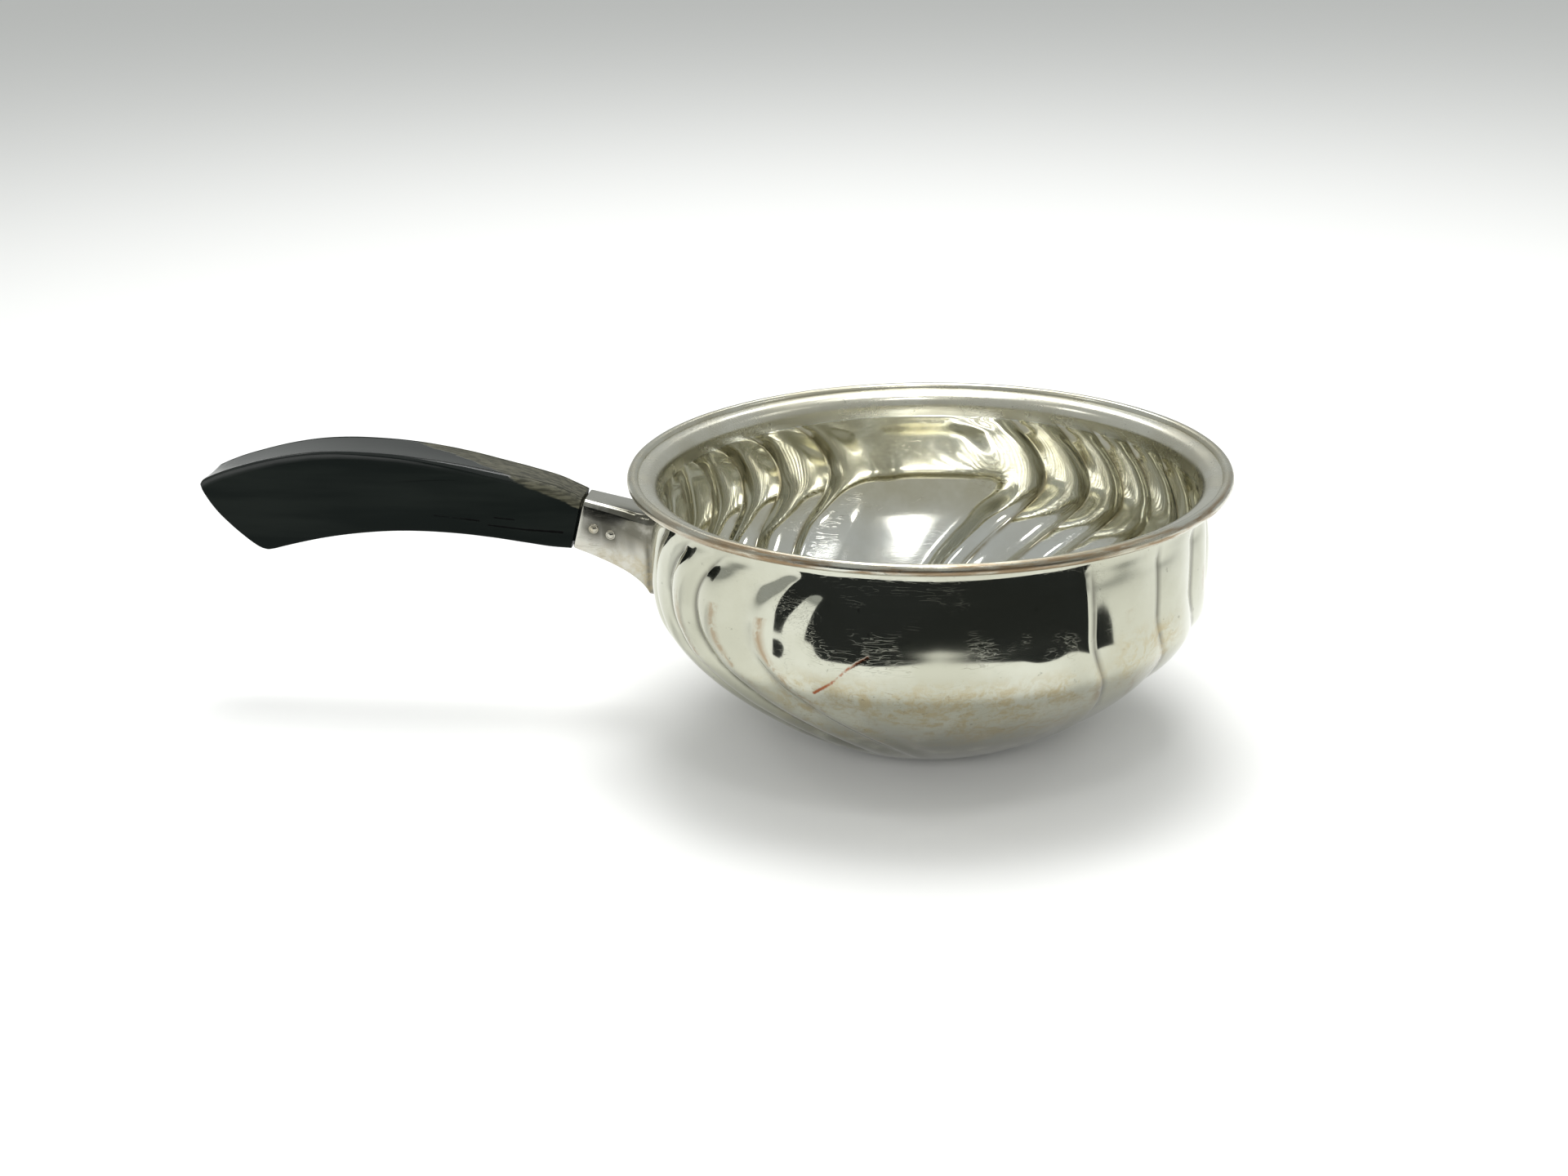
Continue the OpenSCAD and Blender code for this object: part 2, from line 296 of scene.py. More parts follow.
def inside_paint():
    """Inside of the bowl: golden tarnish on the walls, and a floor brushed in circles."""
    paint = Paint("inside_silver", metallic=1.0)
    clouds = paint.noise(45, 5.0, 0.6)
    silver = paint.blend(paint.step(clouds, 0.35, 0.65), (0.76, 0.77, 0.73, 1), (0.68, 0.68, 0.62, 1))
    gold = paint.blend(paint.step(clouds, 0.35, 0.65), (0.72, 0.70, 0.58, 1), (0.60, 0.57, 0.43, 1))
    tarnish = paint.math("MULTIPLY", paint.stored("tarnish"), paint.step(clouds, 0.05, 0.5))
    colour = paint.blend(tarnish, silver, gold)
    grime_and_shade = paint.math("MULTIPLY", paint.stored("grime_and_shade"), paint.step(paint.noise(160, 4.0), 0.3, 0.6))
    colour = paint.blend(grime_and_shade, colour, (0.30, 0.25, 0.13, 1))
    breaks = paint.noise(55, 3.0, 0.5)
    brushed = paint.math("MULTIPLY", paint.stored("brushed"), paint.step(breaks, 0.3, 0.6))
    lines = scratches(paint, SCRATCH_WIDTH)
    colour = paint.blend(paint.math("MULTIPLY", lines, 0.3), colour, (0.35, 0.33, 0.26, 1))
    paint.set("Base Color", colour)
    rough = paint.math("ADD", 0.08, paint.math("MULTIPLY", brushed, 0.12))
    rough = paint.math("ADD", rough, paint.math("MULTIPLY", paint.step(clouds, 0.4, 0.8), 0.06))
    paint.set("Roughness", paint.math("ADD", rough, paint.math("MULTIPLY", lines, 0.10)))
    height = paint.math("MULTIPLY", turned_noise(paint, 2600, 0.03), brushed)
    paint.bump(paint.math("SUBTRACT", height, paint.math("MULTIPLY", lines, 0.3)), 0.30, 0.00008)
    return paint


inside_silver = inside_paint()


# Open cracks in the near side of the wood, in metres: start, end and half width.
CRACKS = [
    ((-0.1222, -0.006, 0.0513), (-0.1123, -0.006, 0.0495), 0.00016),
    ((-0.1123, -0.006, 0.0495), (-0.1020, -0.0058, 0.0484), 0.00026),
    ((-0.1000, -0.0057, 0.0474), (-0.0912, -0.0053, 0.0463), 0.00024),
    ((-0.0912, -0.0053, 0.0463), (-0.0830, -0.0049, 0.0458), 0.00034),
    ((-0.0985, -0.0057, 0.0492), (-0.0940, -0.0054, 0.0487), 0.00020),
]


def wood_paint():
    """Black stained wood: faint long grain, fine cracks, and brown rubbed patches by the socket."""
    paint = Paint("ebonised_wood", roughness=0.3)
    long_grain = paint.stretch((0.10, 1, 1))
    grain = paint.noise(1500, 4.0, 0.6, long_grain)
    broad = paint.noise(240, 3.0, 0.5, long_grain)
    streaks = paint.step(broad, 0.35, 0.7)
    colour = paint.blend(streaks, (0.0045, 0.0065, 0.0057, 1), (0.0085, 0.011, 0.0095, 1))
    patch = paint.noise(260, 5.0, 0.65, paint.stretch((0.22, 1, 1)), 0.4)
    ragged = paint.math("MULTIPLY", paint.math("SUBTRACT", patch, 0.5), 1.3)
    edge = paint.math("ADD", paint.stored("rubbed"), ragged)
    rubbed = paint.step(edge, 0.42, 0.62)
    brown = paint.blend(paint.step(grain, 0.35, 0.65), (0.030, 0.030, 0.021, 1), (0.085, 0.082, 0.058, 1))
    colour = paint.blend(rubbed, colour, brown)
    drift = paint.noise(40, 3.0, 0.55, paint.stretch((0.16, 1, 1)))
    crack = paint.math("MULTIPLY", paint.band(drift, 0.5, 0.009), paint.stored("cracked"))
    for start, end, half_width in CRACKS:
        crack = paint.math("MAXIMUM", crack, segment_mark(paint, start, end, half_width))
    colour = paint.blend(crack, colour, (0.001, 0.001, 0.001, 1))
    paint.set("Base Color", colour)
    matt = paint.stored("matt")
    rough = paint.math("ADD", 0.13, paint.math("MULTIPLY", paint.step(broad, 0.4, 0.8), 0.06))
    rough = paint.math("ADD", rough, paint.math("MULTIPLY", rubbed, 0.36))
    rough = paint.math("ADD", rough, paint.math("MULTIPLY", matt, 0.22))
    paint.set("Roughness", rough)
    shine = paint.math("SUBTRACT", 0.5, paint.math("MULTIPLY", matt, 0.45))
    paint.set("Specular IOR Level", paint.math("MULTIPLY", shine, paint.step(rubbed, 1.6, 0.0)))
    height = paint.math("SUBTRACT", paint.math("MULTIPLY", grain, paint.math("ADD", 0.15, rubbed)), crack)
    paint.bump(height, 0.45, 0.00014)
    return paint


ebonised_wood = wood_paint()

# ---------------------------------------------------------------- the fluted bowl

# Thickness of the metal.
SHEET = 0.9
# Depth of a flute, and the share of its width where its crest lies.
FLUTE_DEPTH = 1.3
CREST_AT = 0.45
# How far in a panel lies at its side groove, and over its plain face.
GROOVE_DEPTH = 0.45
PANEL_DROP = 0.15
# Height of the widest part, the degrees that the flutes turn for each millimetre below it, and the
# degrees for each millimetre squared above it.
BELLY_Z = 42
SWIRL_RATE = 1.05
TOP_HOOK = 0.045
# Radius and height along the outside, from the foot to the lip, and then down the throat.
WALL = [
    (20, 0.0), (24, 1.55), (29, 3.85), (35, 7.0), (41, 10.8), (46, 14.5), (51, 18.7), (55.5, 23.1),
    (59, 27.6), (61.2, 31.3), (62.2, 36), (62.35, 42), (62.2, 47.5), (61.8, 51.5), (61.2, 54.8),
    (60.85, 57.2), (61.1, 58.6), (61.9, 59.7), (63.2, 60.45), (65, 60.85),
]
THROAT = [(65, 61.85), (63.4, 61.75), (61.9, 61.3), (60.75, 60.4), (60.1, 59.1), (59.95, 57.6)]
FAR_CREASES = [-52, -33.8, -19, -4.5, 9.5, 22.5, 34.3, 44.5, 54.5, 66.5]
HANDLE_CREASES = [118.6, 131.7, 142.5, 153, 164, 175, 186, 197.5, 209.5, 221.2, 236]
# Share of the full depth at each crease that is shallower than the rest.
CREASE_DEPTH = {-52: 0.35, -33.8: 0.85, -19: 0.9, 236: 0.8}
# Creases with a rounded bottom, seen from the side of the next flute and of the one before.
SOFT_AFTER = {-52: 1.0}
SOFT_BEFORE = {236: 1.0}
# Degrees in from a panel's edge to its ridge, to its shallow groove and to its plain face.
PLAIN_EDGE = (4.5, 11, 18)
SHARP_EDGE = (1.4, 7.5, 15)
# Height, and how far the far plain panel draws in there.
PANEL_ROUND = [(2, 0), (6, 0.7), (10, 1.9), (15, 3.2), (20, 3.9), (25, 4), (30, 3.35), (33, 2.65), (36, 1.7),
               (39, 0.55), (41, 0.12), (43, 0)]
# Column angle, its share of the turn below the belly, and its share of the hook above it.
TURN_SHARE = [(-52, 0.45, 0), (-33.8, 0.6, 0.1), (-19, 0.8, 0.4), (-4.5, 1, 1), (236, 1, 1), (308, 0.45, 0)]


def swirl(z, column):
    """Degrees that the flutes of a column have turned at height z."""
    table = np.array(TURN_SHARE)
    low_share = np.interp(column, table[:, 0], table[:, 1])
    hook_share = np.interp(column, table[:, 0], table[:, 2])
    below = BELLY_Z - z - 3.5
    low = SWIRL_RATE * (below + np.sqrt(below * below + 9)) / 2 - 0.55 * SWIRL_RATE
    return np.where(z > BELLY_Z, hook_share * TOP_HOOK * (z - BELLY_Z) ** 2, low_share * low)


def fade(z):
    """Share of the full flute depth at height z."""
    return smooth(2, 13, z) * (1 - smooth(52.5, 57.8, z))


def valley(u, soft):
    """Depth share from a crease at u = 0 to a crest at u = 1, with a sharp or a soft bottom."""
    return (1 - soft) * (1 - math.sin(math.pi / 2 * u)) + soft * (1 + math.cos(math.pi * u)) / 2


def panel_dip(u, edge, depth, soft):
    """Dip of a panel u degrees in from its edge crease: a ridge, a groove, then the plain face."""
    ridge, groove, flat = edge
    if u < ridge:
        return FLUTE_DEPTH * depth * valley(u / ridge, soft)
    if u < groove:
        return GROOVE_DEPTH * (1 - math.cos(math.pi * (u - ridge) / (groove - ridge))) / 2
    return GROOVE_DEPTH + (PANEL_DROP - GROOVE_DEPTH) * float(smooth(groove, flat, u))


def panel_round(z):
    """How far the far plain panel draws in below the belly, where it is rounder than the flutes."""
    return np.mean([along(PANEL_ROUND, z + step) for step in np.linspace(-1.5, 1.5, 13)], 0)


def flute_columns():
    """Columns round the bowl: angle, dip, degrees to a crease and to a crest, and panel share."""
    columns = []
    steps = np.concatenate([np.linspace(0, 0.12, 4), np.linspace(0.17, 0.83, 14), np.linspace(0.88, 0.97, 3)])
    for creases in (FAR_CREASES, HANDLE_CREASES):
        for a, b in zip(creases[:-1], creases[1:]):
            for t in steps:
                if t < CREST_AT:
                    share = CREASE_DEPTH.get(a, 1) * valley(t / CREST_AT, SOFT_AFTER.get(a, 0))
                else:
                    share = CREASE_DEPTH.get(b, 1) * valley((1 - t) / (1 - CREST_AT), SOFT_BEFORE.get(b, 0))
                near = min(t, 1 - t + (b in SOFT_BEFORE)) * (b - a)
                columns.append((a + t * (b - a), share * FLUTE_DEPTH, near, abs(t - CREST_AT) * (b - a), 0))
        start = creases[-1]
        end = HANDLE_CREASES[0] if creases is FAR_CREASES else FAR_CREASES[0] + 360
        last_edge = PLAIN_EDGE if creases is FAR_CREASES else SHARP_EDGE
        inward = np.arange(0, 18, 0.9)
        tight = np.arange(0.35, 18, 0.7)[::-1]
        middle = np.linspace(18, end - start - 18, 50)
        for u in np.concatenate([inward, middle, end - start - tight]):
            if u < (end - start) / 2:
                edge, at = PLAIN_EDGE, start
            else:
                edge, at = last_edge, end if end < 300 else end - 360
            gap = min(u, end - start - u)
            dip = panel_dip(gap, edge, CREASE_DEPTH.get(at, 1), SOFT_BEFORE.get(at, 0))
            near = gap + 9 * (at in SOFT_BEFORE)
            drawn_in = float(smooth(edge[0] - 1, edge[0] + 9, gap)) if creases is FAR_CREASES else 0
            columns.append((start + u, dip, near, abs(gap - edge[0]), drawn_in))
    return np.array(columns)


COLUMNS = flute_columns()


def wall_dip(angle, z):
    """How far the wall behind the handle lies inside its plain outline, at an angle and height."""
    turned = np.asarray(angle, float) % 360 - swirl(np.asarray(z, float), 180.0)
    order = np.argsort(COLUMNS[:, 0])
    return np.interp(turned, COLUMNS[order, 0], COLUMNS[order, 1], period=360) * fade(z)


def bowl_section():
    """The closed half section from the outer centre, up the wall, over the lip and down inside."""
    flat = np.stack([np.linspace(0.5, 19.6, 22), np.zeros(22)], -1)
    outer = spline(WALL, 150)
    normal = np.gradient(outer, axis=0)[:, ::-1] * (-1, 1)
    normal /= np.linalg.norm(normal, axis=1)[:, None]
    inner = (outer + normal * SHEET)[outer[:, 1] < 56.4][::-1]
    throat = spline(THROAT + [tuple(inner[0])], 34)[:-1]
    inner_flat = np.stack([np.linspace(19.0, 0.5, 22), np.full(22, SHEET)], -1)
    inner = inner[inner[:, 0] > 19.6]
    return flat, outer, throat, inner, inner_flat


def bowl_marks(points, strength, inside):
    """What the materials read on each point; strength is the share of the full flute depth there."""
    rows = len(points) // len(COLUMNS)
    crease = np.tile(COLUMNS[:, 2], rows)
    crest = np.tile(COLUMNS[:, 3], rows)
    spot = np.degrees(np.arctan2(points[:, 1], points[:, 0]))
    level = points[:, 2]
    grime_and_shade = np.clip(1 - crease / 1.1, 0, 1) * strength * 0.85
    # Painted shade: the outside darkens towards the foot, standing in for the reflection of the shadowed
    # table under the bowl.
    grime_and_shade = np.maximum(grime_and_shade, 0.66 * (1 - smooth(13, 24, level)) * ~inside)
    wear = np.clip(1 - crest / 1.6, 0, 1) * strength * smooth(0.0, 0.4, wobble(points, 16, 5)) * 0.8
    wear *= ~inside & (level < 46)
    front = 1 - smooth(26, 44, abs(spot + 84))
    stain = front * smooth(12, 20, level) * (1 - smooth(31, 38, level)) * ~inside * 0.95
    corner = (1 - smooth(5, 14, abs(spot + 36))) * smooth(24, 30, level) * (1 - smooth(37, 43, level))
    stain = np.maximum(stain, corner * ~inside * 0.8)
    tarnish = np.where(inside, smooth(25, 39, level), 0)
    scoured = np.tile(COLUMNS[:, 4], rows) * (1 - smooth(33, 38, level))
    brushed = np.where(inside, np.maximum(1 - smooth(10, 20, level), scoured), 0)
    return {"grime_and_shade": grime_and_shade, "wear": wear, "stain": stain, "tarnish": tarnish, "brushed": brushed}


def build_bowl():
    """The fluted shell: outside, lip and inside in one skin, each with its own silver."""
    parts = bowl_section()
    section = np.concatenate(parts)
    starts = np.cumsum([0] + [len(p) for p in parts])
    r, z = section[:, 0], section[:, 1]
    angle = np.radians(COLUMNS[:, 0][None, :] + swirl(z[:, None], COLUMNS[:, 0][None, :]))
    depth = COLUMNS[:, 1][None, :] * fade(z)[:, None] + COLUMNS[:, 4][None, :] * panel_round(z)[:, None]
    radius = r[:, None] - depth
    height = np.repeat(z[:, None], len(COLUMNS), 1)
    points = np.stack([radius * np.cos(angle), radius * np.sin(angle), height], -1).reshape(-1, 3)
    out = points / np.maximum(np.linalg.norm(points[:, :2], axis=1), 1)[:, None] * (1, 1, 0)
    free = np.repeat(smooth(3, 10, z) * (1 - smooth(55, 58, z)), len(COLUMNS))
    dents = 0.07 * wobble(points, 24, 1) + 0.012 * wobble(points, 6.5, 2)
    points += out * (dents * free)[:, None]
    rows, columns = radius.shape
    faces = grid_faces(rows, columns, close_columns=True)
    centre_out, centre_in = len(points), len(points) + 1
    points = np.concatenate([points, [(0, 0, 0), (0, 0, SHEET)]])
    last = (rows - 1) * columns
    faces += [(centre_out, (j + 1) % columns, j) for j in range(columns)]
    faces += [(centre_in, last + j, last + (j + 1) % columns) for j in range(columns)]

    inside = np.repeat(np.arange(rows), columns) >= starts[3]
    values = bowl_marks(points[:-2], np.repeat(fade(z), columns), inside)
    # The two centre points come last; the inner one lies on the brushed floor.
    ends = {"brushed": (0, 1)}
    values = {k: np.concatenate([v, ends.get(k, (0, 0))]) for k, v in values.items()}
    kind = np.zeros(len(faces), np.int32)
    face_row = np.repeat(np.arange(rows - 1), columns)
    kind[: len(face_row)][face_row >= starts[2] - 1] = 2
    kind[: len(face_row)][face_row >= starts[3] - 1] = 1
    kind[len(face_row) + columns :] = 1
    paints = [outside_silver.material, inside_silver.material, lip_silver.material]
    bowl = make_object("fluted_bowl", points, faces, paints, values, kind)
    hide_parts("bowl_shell")
    return bowl


build_bowl()

# ---------------------------------------------------------------- the rim wire

RIM_R, WIRE_R, RIM_Z = 65.7, 1.3, 61.6


def build_rim():
    """The wire soldered over the lip's edge, slightly uneven, with its plate worn off outside."""
    turns, sides = 720, 32
    around = np.linspace(0, 2 * np.pi, turns, endpoint=False)
    across = np.linspace(0, 2 * np.pi, sides, endpoint=False)
    a, c = np.meshgrid(around, across, indexing="ij")
    probe = np.stack([np.cos(a) * 66, np.sin(a) * 66, np.sin(c) * 1.5], -1).reshape(-1, 3)
    uneven = (0.020 * wobble(probe, 9, 3) - 0.02).reshape(a.shape)
    radius = WIRE_R + uneven - 0.05 * smooth(0.8, 1.0, np.sin(c))
    r = RIM_R + radius * np.cos(c)
    points = np.stack([r * np.cos(a), r * np.sin(a), RIM_Z + radius * np.sin(c)], -1).reshape(-1, 3)
    faces = grid_faces(turns, sides, True, True)
    outward = smooth(-0.05, 0.8, np.cos(c - 0.1)).reshape(-1)
    front = 1 - smooth(45, 95, abs(np.degrees(a).reshape(-1) - 292))
    wear = outward * (0.22 + 0.70 * front + 0.25 * wobble(probe, 30, 4))
    zeros = np.zeros(len(points))
    rim = make_object("rim_bead", points, faces, [rim_silver.material],
                      {"grime_and_shade": zeros, "wear": np.clip(wear, 0, 1), "stain": zeros + 0.3})
    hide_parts("rim_wire")


build_rim()

# ---------------------------------------------------------------- the handle socket

TOP_MOUTH, LOW_MOUTH = np.array((77.8, 53.5)), np.array((80.7, 42.1))
DOWN = (LOW_MOUTH - TOP_MOUTH) / np.linalg.norm(LOW_MOUTH - TOP_MOUTH)
INWARD = np.array((DOWN[1], -DOWN[0]))
MOUTH_HALF_WIDTH = 4.75
# Each pin's x and z, and half of the socket's width there.
PIN_SPOTS = ((-75.7, 46.9, 4.93), (-71.8, 45.6, 5.03))


def rounded_loop(half_width, height, low_corner, top_corner, steps=9):
    """Points round a rounded rectangle, as (across, up from its lower edge)."""
    loop = []
    centres = ((1, 0, -90), (1, 1, 0), (-1, 1, 90), (-1, 0, 180))
    for side, top, start in centres:
        corner = top_corner if top else low_corner
        cx = side * (half_width - corner)
        cy = height - corner if top else corner
        for k in range(steps + 1):
            t = math.radians(start + 90 * k / steps)
            loop.append((cx + corner * math.cos(t), cy + corner * math.sin(t)))
    return np.array(loop)


def fill_sides(loop, parts):
    """The loop with every gap between its points split into equal parts."""
    following = np.roll(loop, -1, axis=0)
    return np.concatenate([loop + (following - loop) * k / parts for k in range(parts)], 1).reshape(-1, 2)


def socket_marks(points):
    """Seam grime, dark rings round the pins, painted dark reflections by the bowl and along the near side,
    low stain.
    """
    grime_and_shade = np.exp(-((points[:, 0] + 62.8) ** 2) / 0.9)
    for x, z, _ in PIN_SPOTS:
        gap = np.hypot(points[:, 0] - x, points[:, 2] - z)
        grime_and_shade = np.maximum(grime_and_shade, np.exp(-((gap / 2.5) ** 4)))
    # Painted dark reflection on the near face of the socket, beside the bowl.
    painted_reflection_by_bowl = smooth(-75, -67.5, points[:, 0]) * smooth(40, 46, points[:, 2]) * smooth(-1, -4, points[:, 1])
    # Painted dark reflection: a band along the near side, just under the rounded top edge.
    below_top = 51.6 - 0.19 * (points[:, 0] + 77) - points[:, 2]
    reach = 2.2 + 5.0 * smooth(-77, -66, points[:, 0])
    band = (1 - smooth(reach - 0.6, reach + 0.5, below_top)) * smooth(-4.0, -4.6, points[:, 1])
    grime_and_shade = np.maximum(grime_and_shade, np.maximum(painted_reflection_by_bowl, band * 0.9))
    return grime_and_shade, smooth(46, 38, points[:, 2]) * 0.6


def build_socket():
    """Box socket with crisp edges that flares and is soldered to the fluted wall."""
    top = spline([TOP_MOUTH, (73, 52.4), (69, 51.5), (65.5, 50.7), (62.6, 50.6)], 40)
    low = spline([LOW_MOUTH, (76, 40.35), (71.7, 38.5), (67.1, 35.9), (64.3, 33.6), (62.6, 31.6)], 40)
    share = np.linspace(0, 1, 40)
    half = MOUTH_HALF_WIDTH + 0.75 * share + 1.7 * share**6
    sections = []
    for t, b, w, s in zip(top, low, half, share):
        height = np.linalg.norm(t - b)
        loop = fill_sides(rounded_loop(w, height, 0.45 + 0.9 * s**3, 1.5 + 0.8 * s**2), 4)
        up = (t - b) / height
        side = b + loop[:, 1:2] * up
        sections.append(np.stack([-side[:, 0], loop[:, 0], side[:, 1]], -1))
    root = sections[-1].copy()
    angle = np.degrees(np.arctan2(root[:, 1], root[:, 0]))
    below_lip = [(z, r) for r, z in WALL if z < 55]
    radius = along(below_lip, root[:, 2]) - wall_dip(angle, root[:, 2]) - 0.25
    root[:, :2] *= (radius / np.linalg.norm(root[:, :2], axis=1))[:, None]
    sections[-1] = root
    # The mouth: a rounded edge, the cut end of the metal, and the hollow behind it.
    mouth = []
    for inset, deeper in ((0.9, 5.0), (0.9, 0.25), (0.75, 0.05), (0.25, 0.0), (0.08, 0.08)):
        t = TOP_MOUTH + DOWN * inset + INWARD * deeper
        b = LOW_MOUTH - DOWN * inset + INWARD * deeper
        height = np.linalg.norm(t - b)
        loop = fill_sides(rounded_loop(MOUTH_HALF_WIDTH - inset, height, 0.4, 1.45 - inset / 2), 4)
        side = b + loop[:, 1:2] * (t - b) / height
        mouth.append(np.stack([-side[:, 0], loop[:, 0], side[:, 1]], -1))
    sections[0] = sections[0] + np.array((INWARD[0] * -0.25, 0, INWARD[1] * 0.25))
    stack = np.array(mouth + sections)
    rows, columns = stack.shape[:2]
    points = stack.reshape(-1, 3)
    faces = grid_faces(rows, columns, close_columns=True)
    faces.append(list(range(columns)))
    faces.append(list(range((rows - 1) * columns, rows * columns))[::-1])
    grime_and_shade, stain = socket_marks(points)
    socket = make_object("socket_body", points, faces, [socket_silver.material],
                         {"grime_and_shade": grime_and_shade, "wear": points[:, 0] * 0, "stain": stain})
    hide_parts("handle_socket")


build_socket()

# ---------------------------------------------------------------- the pins


def build_pins():
    """Two pins with low domed heads, turned as one outline round each pin's axis."""
    sides = 40
    around = np.linspace(0, 2 * np.pi, sides, endpoint=False)
    points, faces = [], []
    for x, z, half in PIN_SPOTS:
        head = [(0.02, half + 0.30), (0.35, half + 0.28), (0.62, half + 0.20), (0.74, half + 0.10),
                (0.86, half + 0.12), (1.00, half + 0.14), (1.12, half + 0.08), (1.19, half - 0.05),
                (1.2, half - 0.6)]
        outline = head + [(r, -y) for r, y in reversed(head)]
        first = len(points)
        for r, y in outline:
            points += [(x + r * math.cos(t), y, z + r * math.sin(t)) for t in around]
        faces += grid_faces(len(outline), sides, close_columns=True, first=first)
        faces.append(list(range(first, first + sides))[::-1])
        faces.append(list(range(len(points) - sides, len(points))))
    points = np.array(points)
    zeros = np.zeros(len(points))
    pins = make_object("socket_pins", points, faces, [socket_silver.material],
                       {"grime_and_shade": zeros, "wear": zeros, "stain": zeros + 0.6})
    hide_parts("handle_pins")


build_pins()

# ---------------------------------------------------------------- the grip

# Distance from the bowl's axis and height, along the top, the underside and the slanted end.
GRIP_TOP = [
    (78.3, 53.8), (81, 55.05), (84, 56.35), (90.4, 58.15), (98.1, 59.85), (105.7, 61.45), (113.4, 62.7),
    (120.3, 63.55), (127.4, 64.0), (134, 64.1), (140.7, 63.7), (148.7, 62.4), (155.8, 60.6), (162, 58.65),
    (165.4, 57.25), (167.2, 56.3), (167.9, 55.3),
]
GRIP_LOW = [
    (81.2, 41.9), (85.5, 42.15), (92.1, 43.1), (99.6, 44.25), (107.3, 45.05), (115, 45.4), (122.7, 45.25),
    (130.5, 44.5), (138.4, 43.25), (146.4, 41.4), (149.6, 40.55), (151.2, 40.1), (152.6, 39.85),
]
GRIP_END = [
    (152.6, 39.85), (154.4, 40.25), (156.2, 41.3), (158.5, 43.1), (161.4, 45.7), (164.5, 49.0), (166.6, 52.1),
    (167.6, 54.1), (167.9, 55.3),
]
# Distance from the bowl's axis, and the full width there.
GRIP_WIDTH = [
    (78, 9.8), (82, 9.8), (88, 10.1), (94, 10.8), (101, 11.7), (110, 12.3), (122, 12.5), (138, 12.5),
    (151, 12.4), (161, 12.1), (168, 11.7),
]
# Rounding of the long edges, and the grip's length from its mouth to its end.
TOP_EDGE = [(78, 1.5), (100, 1.2), (115, 0.6), (135, 0.4), (168, 0.4)]
LOW_EDGE = [(78, 0.6), (120, 0.6), (153, 0.8), (168, 0.8)]
GRIP_LENGTH = 82


def rounding(gap, radius):
    """How far a face draws in at a gap from its rounded edge: radius at the edge, then none."""
    t = np.clip(1 - gap / radius, 0, 1)
    return radius * (1 - np.sqrt(1 - t * t))


def clustered(count, edge):
    """Steps from 0 to 1 that crowd inside the given share at both ends."""
    fan = edge * (1 - np.cos(np.linspace(0, np.pi / 2, 7)))
    middle = np.linspace(edge, 1 - edge, count)[1:-1]
    return np.concatenate([fan, middle, 1 - fan[::-1]])


def build_grip():
    """Sawn and filed grip: flat sides, an arched top, a slanted end and softened edges."""
    u = clustered(130, 0.012)
    v = clustered(26, 0.08)
    top, low = spline(GRIP_TOP, 2000), spline(GRIP_LOW, 2000)
    end, mouth = spline(GRIP_END, 2000), spline([GRIP_LOW[0], GRIP_TOP[0]], 2000)

    def at(curve, t):
        return np.stack([np.interp(t, np.linspace(0, 1, len(curve)), curve[:, k]) for k in (0, 1)], -1)

    uu, vv = np.meshgrid(u, v, indexing="ij")
    uu, vv = uu[..., None], vv[..., None]
    ruled = (1 - vv) * at(low, u)[:, None] + vv * at(top, u)[:, None]
    crossed = (1 - uu) * at(mouth, v)[None] + uu * at(end, v)[None]
    corner = (1 - uu) * ((1 - vv) * low[0] + vv * top[0]) + uu * ((1 - vv) * low[-1] + vv * top[-1])
    side = ruled + crossed - corner
    x = side[..., 0]
    length = np.linalg.norm(at(top, u) - at(low, u), axis=1)[:, None]
    gaps = {
        "top": (1 - vv[..., 0]) * length,
        "low": vv[..., 0] * length,
        "end": (1 - uu[..., 0]) * GRIP_LENGTH,
        "mouth": uu[..., 0] * GRIP_LENGTH,
    }
    drawn = [
        rounding(gaps["top"], along(TOP_EDGE, x)),
        rounding(gaps["low"], along(LOW_EDGE, x)),
        rounding(gaps["end"], 0.5),
        rounding(gaps["mouth"], 0.2),
    ]
    inset = np.sqrt(sum(d * d for d in drawn))
    half = along(GRIP_WIDTH, x) / 2 - np.minimum(inset, 2.2)
    rows, columns = x.shape
    front = np.stack([-x, -half, side[..., 1]], -1).reshape(-1, 3)
    back = front * (1, -1, 1)
    edge = [(i, 0) for i in range(rows)] + [(rows - 1, j) for j in range(1, columns)]
    edge += [(i, columns - 1) for i in range(rows - 2, -1, -1)] + [(0, j) for j in range(columns - 2, 0, -1)]
    rim = np.array([i * columns + j for i, j in edge])
    across = 14
    shares = np.linspace(-1, 1, across + 1)[1:-1]
    loop = front[rim]
    following = np.roll(loop, -1, 0) - np.roll(loop, 1, 0)
    outward = np.stack([following[:, 2], following[:, 2] * 0, -following[:, 0]], -1)
    outward /= np.maximum(np.linalg.norm(outward, axis=1), 1e-9)[:, None]
    strips = []
    for s in shares:
        ring = loop * (1, -s, 1)
        crown = np.where(loop[:, 0] < -82, 0.12 * (1 - s * s), 0)
        strips.append(ring + outward * crown[:, None])
    points = np.concatenate([front, back] + strips)
    faces = [f[::-1] for f in grid_faces(rows, columns)] + grid_faces(rows, columns, first=len(front))
    rings = [rim] + [2 * len(front) + k * len(rim) + np.arange(len(rim)) for k in range(len(strips))]
    rings.append(rim + len(front))
    for a, b in zip(rings[:-1], rings[1:]):
        a2, b2 = np.roll(a, -1), np.roll(b, -1)
        faces += np.stack([a, a2, b2, b], -1).tolist()
    return points, faces


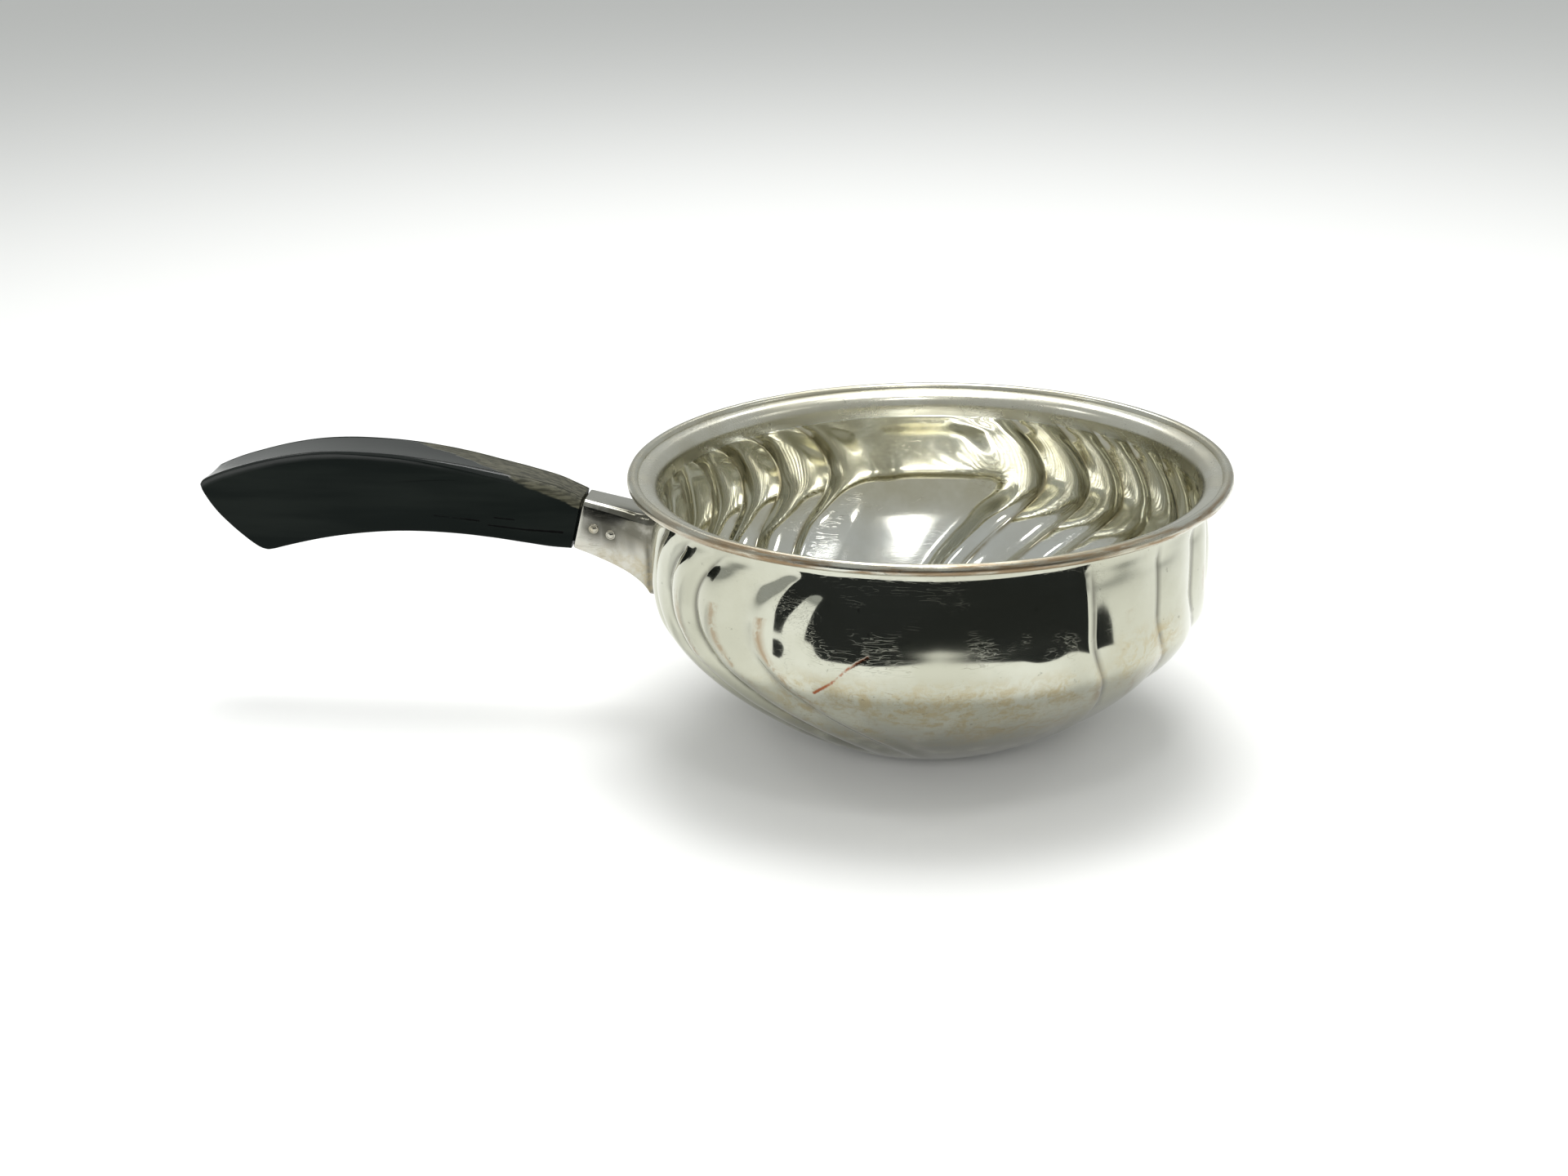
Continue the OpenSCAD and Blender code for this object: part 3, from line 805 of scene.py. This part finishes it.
def build_tenon(first):
    """The tongue of the grip that sits in the socket."""
    stack = []
    for deeper in (-1.2, 4.6):
        t = TOP_MOUTH + DOWN * 1.1 + INWARD * deeper
        b = LOW_MOUTH - DOWN * 1.1 + INWARD * deeper
        height = np.linalg.norm(t - b)
        loop = rounded_loop(3.7, height, 0.5, 0.9)
        side = b + loop[:, 1:2] * (t - b) / height
        stack.append(np.stack([-side[:, 0], loop[:, 0], side[:, 1]], -1))
    points = np.concatenate(stack)
    columns = len(stack[0])
    faces = grid_faces(2, columns, close_columns=True, first=first)
    faces.append(list(range(first, first + columns)))
    faces.append(list(range(first + columns, first + 2 * columns))[::-1])
    return points, faces


grip_points, grip_faces = build_grip()
tenon_points, tenon_faces = build_tenon(len(grip_points))
grip_points = np.concatenate([grip_points, tenon_points])
upper = grip_points[:, 2] - along(GRIP_TOP, -grip_points[:, 0])
polish_end = -92 - (grip_points[:, 1] + 6) * 29 / 12
grip_values = {
    "rubbed": smooth(-7, 7, grip_points[:, 0] - polish_end) * smooth(-4.2, -0.9, upper),
    "matt": smooth(-0.8, -1.8, upper),
    "cracked": smooth(-125, -105, grip_points[:, 0]) * smooth(-3, -6, upper),
}
grip_faces += tenon_faces
grip = make_object("wooden_grip", grip_points, grip_faces, [ebonised_wood.material], grip_values)
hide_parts("handle_grip")

# ---------------------------------------------------------------- floor, light and camera


def build_floor():
    """A plain pale table."""
    mesh = bpy.data.meshes.new("studio_floor")
    size = 4.0
    corners = [(-size, -size, 0), (size, -size, 0), (size, size, 0), (-size, size, 0)]
    mesh.from_pydata(corners, [], [(0, 1, 2, 3)])
    floor = bpy.data.objects.new("studio_floor", mesh)
    bpy.context.scene.collection.objects.link(floor)
    paint = Paint("pale_floor", roughness=0.8)
    paint.set("Base Color", (0.88, 0.88, 0.87, 1))
    mesh.materials.append(paint.material)


def build_flag():
    """A black sheet round the camera's side for the dark room there; seen only in reflections, it paints dark
    reflections.
    """
    near_edge = [(-131, 168), (-121, 154), (-104, 152), (-82, 168), (-60, 160), (-36, 146), (-27, 146)]
    degrees = np.linspace(-131, -27, 60)
    near = along(near_edge, degrees)
    levels = ((near, 0.4), (near + 140, 20), (near + 360, 62), (near + 600, 112))
    angles = np.radians(degrees)
    points = [(r * math.cos(a), r * math.sin(a), z) for rs, z in levels for r, a in zip(rs, angles)]
    mesh = bpy.data.meshes.new("black_flag")
    mesh.from_pydata((np.array(points) * MM).tolist(), [], grid_faces(len(levels), len(angles)))
    flag = bpy.data.objects.new("black_flag", mesh)
    bpy.context.scene.collection.objects.link(flag)
    paint = Paint("black_cloth", roughness=1.0)
    paint.set("Base Color", (0.02, 0.022, 0.022, 1))
    paint.set("Specular IOR Level", 0.0)
    mesh.materials.append(paint.material)
    flag.visible_camera = False
    flag.visible_diffuse = False
    flag.visible_shadow = False


def area_light(name, place, target, size, power, glossy=True):
    """A soft box turned to its target; glossy says whether the silver mirrors it."""
    data = bpy.data.lights.new(name, "AREA")
    data.shape = "RECTANGLE"
    data.size, data.size_y = size
    data.energy = power
    lamp = bpy.data.objects.new(name, data)
    bpy.context.scene.collection.objects.link(lamp)
    lamp.location = place
    lamp.visible_glossy = glossy
    lamp.rotation_euler = (Vector(target) - Vector(place)).to_track_quat("-Z", "Y").to_euler()


AIM = (0, 0, 0.03)
TENT_STRENGTH = 0.49


def build_light():
    """A white tent, soft boxes above, behind and in front, and three small keys."""
    world = bpy.data.worlds.new("white_tent")
    world.use_nodes = True
    background = world.node_tree.nodes["Background"]
    background.inputs["Color"].default_value = (0.97, 1.0, 0.98, 1)
    background.inputs["Strength"].default_value = TENT_STRENGTH
    bpy.context.scene.world = world
    area_light("soft_top", (0.00, 0.14, 0.85), AIM, (0.50, 0.50), 3.4, glossy=False)
    area_light("top_window", (0.00, 0.11, 0.85), AIM, (0.34, 0.28), 1.9)
    area_light("front_fill", (0.00, -0.80, 0.30), (0, -0.08, 0), (0.80, 0.40), 4.2, glossy=False)
    area_light("back_window", (-0.10, 0.52, 0.66), AIM, (0.36, 0.30), 1.3)
    area_light("front_key", (0.094, -0.290, 0.604), AIM, (0.12, 0.12), 0.30)
    area_light("left_key", (-0.45, -0.10, 0.55), AIM, (0.10, 0.10), 0.15)
    area_light("right_key", (0.50, 0.00, 0.55), AIM, (0.10, 0.10), 0.15)


CAMERA_PLACE = (44.45, -518.44, 228.54)
# Degrees up from looking straight down, of roll, and round to the left.
CAMERA_TURN = (69.455, 1.115, 8.082)


def build_camera():
    """The photographer's view, solved from the rim and the handle."""
    data = bpy.data.cameras.new("camera")
    data.sensor_width = 36
    data.lens = 56.25
    data.clip_start = 0.01
    camera = bpy.data.objects.new("camera", data)
    bpy.context.scene.collection.objects.link(camera)
    camera.location = Vector(CAMERA_PLACE) * MM
    camera.rotation_euler = [math.radians(degrees) for degrees in CAMERA_TURN]
    bpy.context.scene.camera = camera


build_floor()
build_flag()
build_light()
build_camera()
bpy.context.scene.view_settings.view_transform = "Standard"
